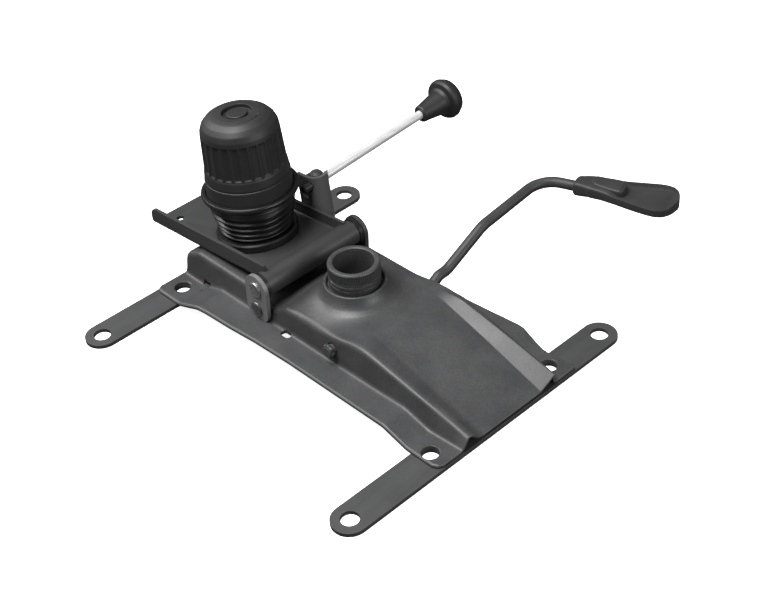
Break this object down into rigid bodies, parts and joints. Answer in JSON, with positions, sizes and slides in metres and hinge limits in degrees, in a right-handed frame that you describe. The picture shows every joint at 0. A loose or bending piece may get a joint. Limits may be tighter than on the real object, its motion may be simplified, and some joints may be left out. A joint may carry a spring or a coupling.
{
  "type": "chair tilt mechanism",
  "caption": "Push-back tilt mechanism for a task chair: pressed base plate on two cross bars, gas-lift socket, sprung tilting tray, tension knob, lock rod and height lever.",
  "frame": {"origin": "centre of the four seat bolt holes, on the cross bars' seat side", "axes": "+Z away from the seat, +X along the cross bars towards the height lever's paddle, +Y towards the tension knob and the tray's free end"},
  "size_m": [0.3591, 0.3286, 0.1346],
  "materials": {
    "coated_steel": "satin",
    "black_plastic": "satin",
    "grip_plastic": "satin",
    "rubber": "matte",
    "zinc": "bright",
    "spring_steel": "satin",
    "chrome": "polished"
  },
  "bodies": {
    "base": {"base_plate": "coated_steel", "front_crossbar": "coated_steel", "rear_crossbar": "coated_steel", "gaslift_socket": "coated_steel", "ear_left": "coated_steel", "ear_right": "coated_steel", "rivet_left": "zinc", "rivet_right": "zinc", "pivot_axle": "zinc", "lock_bracket": "coated_steel", "lock_post": "black_plastic", "bolt_anchor": "coated_steel", "tension_bolt": "zinc", "lever_return_spring": "spring_steel"},
    "tray": {"tilt_plate": "coated_steel", "pivot_tube": "coated_steel", "bush_left": "black_plastic", "bush_right": "black_plastic", "lock_guide": "coated_steel", "lower_spring_seat": "black_plastic", "tension_spring": "spring_steel"},
    "adjuster": {"upper_spring_seat": "zinc", "bellows": "rubber"},
    "knob": {"tension_knob": "black_plastic", "knob_nut": "zinc", "knob_cap": "black_plastic"},
    "lock": {"lock_rod": "chrome", "lock_rod_knob": "black_plastic"},
    "lever": {"lever_rod": "coated_steel", "lever_clip": "coated_steel", "lever_tab": "coated_steel", "lever_paddle": "grip_plastic", "paddle_insert": "grip_plastic"}
  },
  "joints": [
    {"name": "tilt", "type": "hinge", "parent": "base", "child": "tray", "pos_m": [0.0126, 0.05, 0.0375], "axis": [1, 0, 0], "range_deg": [0, 12], "stiffness_Nm_per_rad": 60, "springref_deg": -6.88, "deforming": ["tension_spring", "bellows"]},
    {"name": "knob_feed", "type": "slide", "parent": "base", "child": "adjuster", "axis": [0, -0.0523, -0.9986], "range_m": [-0.0036, 0.0053]},
    {"name": "knob_turn", "type": "hinge", "parent": "adjuster", "child": "knob", "pos_m": [0.0126, 0.1055, 0.0313], "axis": [0, -0.0523, -0.9986], "range_deg": [-720, 1080]},
    {"name": "lock_slide", "type": "slide", "parent": "base", "child": "lock", "axis": [0.9979, 0, 0.0654], "range_m": [0, 0.011]},
    {"name": "lever_turn", "type": "hinge", "parent": "base", "child": "lever", "pos_m": [0.0126, -0.0225, 0.0218], "axis": [1, 0, 0], "range_deg": [0, 12], "stiffness_Nm_per_rad": 0.6, "springref_deg": -17.19}
  ],
  "couplings": [
    {"joint": "knob_feed", "follows": "knob_turn", "m_per_rad": 0.00027852}
  ]
}
